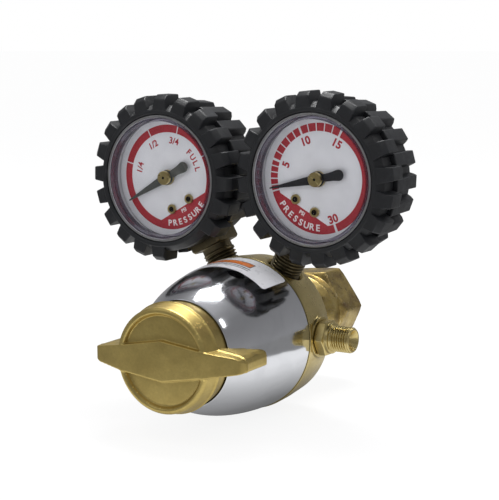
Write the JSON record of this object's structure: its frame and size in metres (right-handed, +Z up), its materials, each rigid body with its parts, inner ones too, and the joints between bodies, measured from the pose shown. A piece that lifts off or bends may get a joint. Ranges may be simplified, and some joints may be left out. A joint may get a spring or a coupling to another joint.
{
  "type": "gas regulator",
  "caption": "Gas regulator with a chromed bonnet, a brass T-handle, a pair of rubber-booted dial gauges, a hexagon inlet nut and a threaded side outlet.",
  "frame": {"origin": "centre of the assembly's bounding box at rest; the regulator's main axis is parallel to Y, through x = -0.7449 mm, z = -34.4711 mm", "axes": "+X towards the outlet, -Y towards the T-handle and the dials, +Y towards the inlet, +Z up towards the gauges"},
  "size_m": [0.1412, 0.1304, 0.1324],
  "materials": {
    "brass": "cast and machined, dull gold",
    "turned_brass": "turned, bright",
    "patina_brass": "mottled by heat",
    "dark_brass": "dark, tarnished",
    "chrome": "polished plate",
    "steel": "plain",
    "bronze": "phosphor bronze",
    "rubber": "moulded, satin",
    "label": "printed foil",
    "dial": "white enamel",
    "pointer_black": "matt black",
    "pointer_grey": "matt dark grey",
    "seat_plastic": "PTFE",
    "lens": "clear polycarbonate"
  },
  "bodies": {
    "regulator": {"regulator_body": "brass", "bonnet": "chrome", "bonnet_label": "label", "valve_nozzle": "turned_brass", "valve_spring": "steel", "diaphragm": "rubber", "diaphragm_slip_ring": "steel", "adjusting_spring": "steel", "inlet_nipple": "turned_brass", "inlet_filter": "bronze", "outlet_fitting": "brass", "contents_socket": "dark_brass", "contents_case": "steel", "contents_boot": "rubber", "contents_bourdon_tube": "bronze", "contents_movement_frame": "turned_brass", "contents_hairspring": "bronze", "contents_dial": "dial", "contents_dial_screw_1": "turned_brass", "contents_dial_screw_2": "turned_brass", "contents_lens": "lens", "delivery_socket": "dark_brass", "delivery_case": "steel", "delivery_boot": "rubber", "delivery_bourdon_tube": "bronze", "delivery_movement_frame": "turned_brass", "delivery_hairspring": "bronze", "delivery_dial": "dial", "delivery_dial_screw_1": "turned_brass", "delivery_dial_screw_2": "turned_brass", "delivery_lens": "lens"},
    "spring_button": {"spring_button": "steel"},
    "knob": {"adjusting_knob": "brass", "adjusting_screw": "turned_brass"},
    "diaphragm_plate": {"diaphragm_plate": "steel"},
    "valve_poppet": {"valve_poppet": "steel", "valve_seat": "seat_plastic"},
    "inlet_nut": {"inlet_nut": "patina_brass"},
    "contents_sector": {"contents_sector_gear": "turned_brass"},
    "contents_pointer": {"contents_pointer_shaft": "turned_brass", "contents_pointer": "pointer_grey", "contents_pointer_bush": "turned_brass"},
    "contents_link": {"contents_link": "turned_brass"},
    "delivery_sector": {"delivery_sector_gear": "turned_brass"},
    "delivery_pointer": {"delivery_pointer_shaft": "turned_brass", "delivery_pointer": "pointer_black", "delivery_pointer_bush": "turned_brass"},
    "delivery_link": {"delivery_link": "turned_brass"}
  },
  "joints": [
    {"name": "knob_turn", "type": "hinge", "parent": "spring_button", "child": "knob", "pos_m": [-0.00074, -0.0458, -0.03447], "axis": [0, 1, 0], "range_deg": [-540, 540]},
    {"name": "button_slide", "type": "slide", "parent": "regulator", "child": "spring_button", "axis": [0, 1, 0], "range_m": [-0.00195, 0.00195], "deforming": ["adjusting_spring"]},
    {"name": "plate_lift", "type": "slide", "parent": "regulator", "child": "diaphragm_plate", "axis": [0, 1, 0], "range_m": [0, 0.0008], "deforming": ["diaphragm", "adjusting_spring"]},
    {"name": "poppet_lift", "type": "slide", "parent": "regulator", "child": "valve_poppet", "axis": [0, 1, 0], "range_m": [0, 0.0008], "deforming": ["valve_spring"]},
    {"name": "nut_turn", "type": "hinge", "parent": "regulator", "child": "inlet_nut", "pos_m": [-0.00074, 0.0542, -0.03447], "axis": [0, 1, 0], "continuous": true},
    {"name": "contents_sector_swing", "type": "hinge", "parent": "regulator", "child": "contents_sector", "pos_m": [-0.02974, 0.0042, 0.01783], "axis": [0, 1, 0], "range_deg": [-22, 0], "deforming": ["contents_bourdon_tube"]},
    {"name": "contents_pointer_turn", "type": "hinge", "parent": "regulator", "child": "contents_pointer", "pos_m": [-0.0358, 0.0042, 0.02876], "axis": [0, 1, 0], "range_deg": [0, 198], "deforming": ["contents_hairspring"]},
    {"name": "contents_link_swing", "type": "hinge", "parent": "contents_sector", "child": "contents_link", "pos_m": [-0.02373, 0.0042, 0.01773], "axis": [0, 1, 0], "range_deg": [0, 22]},
    {"name": "delivery_sector_swing", "type": "hinge", "parent": "regulator", "child": "delivery_sector", "pos_m": [0.02973, 0.0042, 0.0205], "axis": [0, 1, 0], "range_deg": [-30, 0], "deforming": ["delivery_bourdon_tube"]},
    {"name": "delivery_pointer_turn", "type": "hinge", "parent": "regulator", "child": "delivery_pointer", "pos_m": [0.03579, 0.0042, 0.03143], "axis": [0, 1, 0], "range_deg": [0, 270], "deforming": ["delivery_hairspring"]},
    {"name": "delivery_link_swing", "type": "hinge", "parent": "delivery_sector", "child": "delivery_link", "pos_m": [0.03282, 0.0042, 0.01535], "axis": [0, 1, 0], "range_deg": [0, 30]}
  ],
  "couplings": [
    {"joint": "button_slide", "follows": "knob_turn", "m_per_rad": 0.00020213},
    {"joint": "poppet_lift", "follows": "plate_lift", "ratio": 1},
    {"joint": "contents_pointer_turn", "follows": "contents_sector_swing", "ratio": -9},
    {"joint": "contents_link_swing", "follows": "contents_sector_swing", "ratio": -1},
    {"joint": "delivery_pointer_turn", "follows": "delivery_sector_swing", "ratio": -9},
    {"joint": "delivery_link_swing", "follows": "delivery_sector_swing", "ratio": -1}
  ]
}
